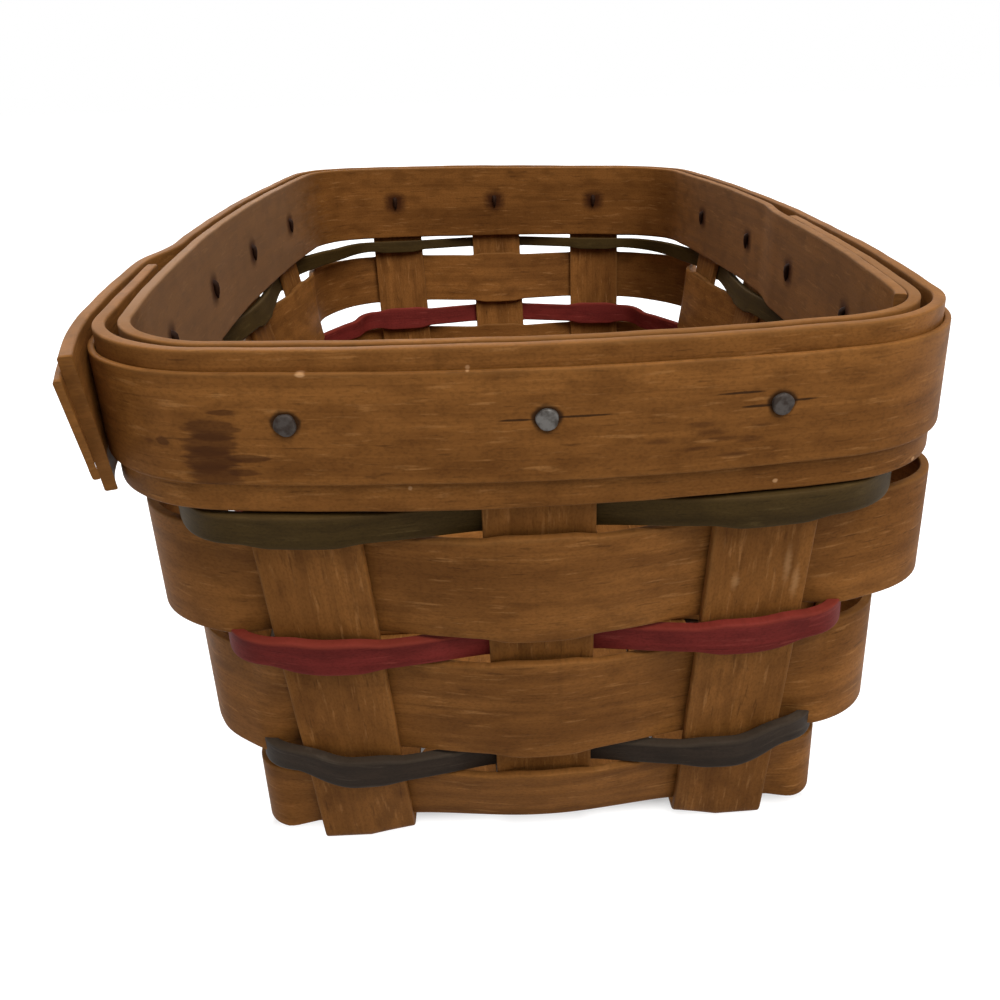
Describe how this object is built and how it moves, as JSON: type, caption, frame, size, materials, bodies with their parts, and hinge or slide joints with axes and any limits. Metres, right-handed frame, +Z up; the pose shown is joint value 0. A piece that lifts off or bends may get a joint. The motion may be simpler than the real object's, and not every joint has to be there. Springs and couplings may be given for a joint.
{
  "type": "woven splint basket",
  "caption": "Open rectangular basket woven from flat stained wood splints, with dyed narrow weavers and a tacked lapped rim, for holding crackers at table.",
  "frame": {"origin": "centre of the basket on the plane it stands on, under the middle of the base", "axes": "+Y along the length from the front short end to the back one, +X to the right seen from the front, +Z up out of the open top"},
  "size_m": [0.1401, 0.2302, 0.0953],
  "materials": {
    "stained_wood": "satin stain, worn",
    "green_dyed_wood": "matte dye",
    "red_dyed_wood": "matte dye",
    "blue_dyed_wood": "matte dye",
    "tack_steel": "dull, lightly oxidised"
  },
  "bodies": {
    "root": {"lengthwise_splint_left": "stained_wood", "lengthwise_splint_middle": "stained_wood", "lengthwise_splint_right": "stained_wood", "crosswise_splint_front": "stained_wood", "crosswise_splint_front_middle": "stained_wood", "crosswise_splint_back_middle": "stained_wood", "crosswise_splint_back": "stained_wood", "base_filler_left": "stained_wood", "base_filler_right": "stained_wood", "weaver_lowest_natural": "stained_wood", "weaver_lower_wide_natural": "stained_wood", "weaver_upper_wide_natural": "stained_wood", "inner_rim_band": "stained_wood", "outer_rim_band": "stained_wood", "rim_trim_strip": "stained_wood", "weaver_top_narrow_green": "green_dyed_wood", "weaver_middle_narrow_red": "red_dyed_wood", "weaver_lower_narrow_blue": "blue_dyed_wood", "tack_right_1": "tack_steel", "tack_right_2": "tack_steel", "tack_right_3": "tack_steel", "tack_right_4": "tack_steel", "tack_back_1": "tack_steel", "tack_back_2": "tack_steel", "tack_back_3": "tack_steel", "tack_left_1": "tack_steel", "tack_left_2": "tack_steel", "tack_left_3": "tack_steel", "tack_left_4": "tack_steel", "tack_front_1": "tack_steel", "tack_front_2": "tack_steel", "tack_front_3": "tack_steel"}
  },
  "joints": []
}
